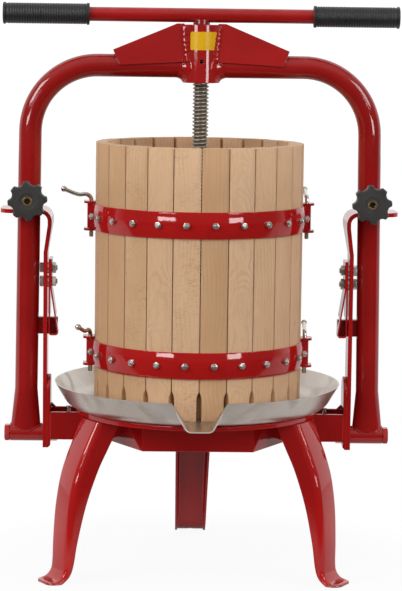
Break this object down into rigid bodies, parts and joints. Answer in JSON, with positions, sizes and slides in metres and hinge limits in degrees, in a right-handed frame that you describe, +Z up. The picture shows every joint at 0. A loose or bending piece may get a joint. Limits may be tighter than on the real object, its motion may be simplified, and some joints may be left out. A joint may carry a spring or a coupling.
{
  "type": "screw fruit press",
  "caption": "Three-legged fruit press with a slatted wooden basket, a juice basin with a spout, and a tilting tube yoke that carries a pressing screw with a cross handle.",
  "frame": {"origin": "on the floor, under the axis of the pressing screw", "axes": "+Z up along the screw, -Y towards the spout at the front, +X to the viewer's right"},
  "size_m": [0.538, 0.452, 0.7703],
  "materials": {
    "red_enamel": "glossy enamel",
    "beech": "planed, unvarnished",
    "stainless_steel": "dull stainless sheet",
    "zinc_steel": "zinc plated",
    "oiled_steel": "machined and oiled",
    "cast_nut": "machined",
    "grip_rubber": "ribbed, matt",
    "knob_plastic": "fine texture",
    "brass_insert": "turned"
  },
  "bodies": {
    "base": {"arm_gussets": "red_enamel", "base_plate": "red_enamel", "basin": "stainless_steel", "catch_bolts": "zinc_steel", "catch_nuts": "zinc_steel", "catch_tongue_left": "red_enamel", "catch_tongue_right": "red_enamel", "catch_washers": "zinc_steel", "end_plate_left": "red_enamel", "end_plate_right": "red_enamel", "hoop_lower_front": "red_enamel", "hoop_lower_rear": "red_enamel", "hoop_upper_front": "red_enamel", "hoop_upper_rear": "red_enamel", "leg_front_left": "red_enamel", "leg_front_right": "red_enamel", "leg_rear": "red_enamel", "pivot_bolts": "red_enamel", "pivot_nuts": "zinc_steel", "press_board_front": "beech", "press_board_rear": "beech", "rail_front": "red_enamel", "rail_rear": "red_enamel", "stave_bolts": "zinc_steel", "stave_nuts": "zinc_steel", "staves_front": "beech", "staves_rear": "beech", "stop_blocks": "red_enamel", "stop_bolts": "zinc_steel", "stop_nuts": "zinc_steel", "strap_left": "red_enamel", "strap_right": "red_enamel"},
    "yoke": {"yoke_leg_left": "red_enamel", "yoke_leg_right": "red_enamel", "pivot_sleeves": "red_enamel", "yoke_lugs": "red_enamel", "nut_housing": "red_enamel", "screw_nut": "cast_nut", "gusset_left": "red_enamel", "gusset_right": "red_enamel"},
    "press_foot": {"press_foot": "oiled_steel"},
    "screw": {"screw": "oiled_steel", "retaining_ring": "oiled_steel", "handle_neck": "red_enamel", "handle_bar": "red_enamel", "grip_left": "grip_rubber", "grip_right": "grip_rubber"},
    "pad_left": {"knob_pad_left": "knob_plastic"},
    "knob_left": {"knob_left": "knob_plastic", "knob_insert_left": "brass_insert", "knob_stud_left": "zinc_steel"},
    "pin_upper_left": {"clasp_pin_upper_left": "zinc_steel"},
    "pin_lower_left": {"clasp_pin_lower_left": "zinc_steel"},
    "pad_right": {"knob_pad_right": "knob_plastic"},
    "knob_right": {"knob_right": "knob_plastic", "knob_insert_right": "brass_insert", "knob_stud_right": "zinc_steel"},
    "pin_upper_right": {"clasp_pin_upper_right": "zinc_steel"},
    "pin_lower_right": {"clasp_pin_lower_right": "zinc_steel"}
  },
  "joints": [
    {"name": "yoke_tilt", "type": "hinge", "parent": "base", "child": "yoke", "pos_m": [0, 0, 0.1834], "axis": [-1, 0, 0], "range_deg": [0, 15]},
    {"name": "foot_lift", "type": "slide", "parent": "yoke", "child": "press_foot", "axis": [0, 0, 1], "range_m": [0, 0.26]},
    {"name": "screw_turn", "type": "hinge", "parent": "press_foot", "child": "screw", "pos_m": [0, 0, 0.7], "axis": [0, 0, 1], "range_deg": [0, 18720]},
    {"name": "pad_left_slide", "type": "slide", "parent": "base", "child": "pad_left", "axis": [0, -1, 0], "range_m": [0, 0.0075]},
    {"name": "knob_left_turn", "type": "hinge", "parent": "pad_left", "child": "knob_left", "pos_m": [-0.23105, -0.04, 0.506], "axis": [0, -1, 0], "range_deg": [0, 1800]},
    {"name": "pin_upper_left_pull", "type": "slide", "parent": "base", "child": "pin_upper_left", "axis": [0, 0, 1], "range_m": [0, 0.06]},
    {"name": "pin_lower_left_pull", "type": "slide", "parent": "base", "child": "pin_lower_left", "axis": [0, 0, 1], "range_m": [0, 0.06]},
    {"name": "pad_right_slide", "type": "slide", "parent": "base", "child": "pad_right", "axis": [0, -1, 0], "range_m": [0, 0.0075]},
    {"name": "knob_right_turn", "type": "hinge", "parent": "pad_right", "child": "knob_right", "pos_m": [0.23105, -0.04, 0.506], "axis": [0, -1, 0], "range_deg": [0, 1800]},
    {"name": "pin_upper_right_pull", "type": "slide", "parent": "base", "child": "pin_upper_right", "axis": [0, 0, 1], "range_m": [0, 0.06]},
    {"name": "pin_lower_right_pull", "type": "slide", "parent": "base", "child": "pin_lower_right", "axis": [0, 0, 1], "range_m": [0, 0.06]}
  ],
  "couplings": [
    {"joint": "foot_lift", "follows": "screw_turn", "m_per_rad": 0.00079577},
    {"joint": "pad_left_slide", "follows": "knob_left_turn", "m_per_rad": 0.00023873},
    {"joint": "pad_right_slide", "follows": "knob_right_turn", "m_per_rad": 0.00023873}
  ]
}
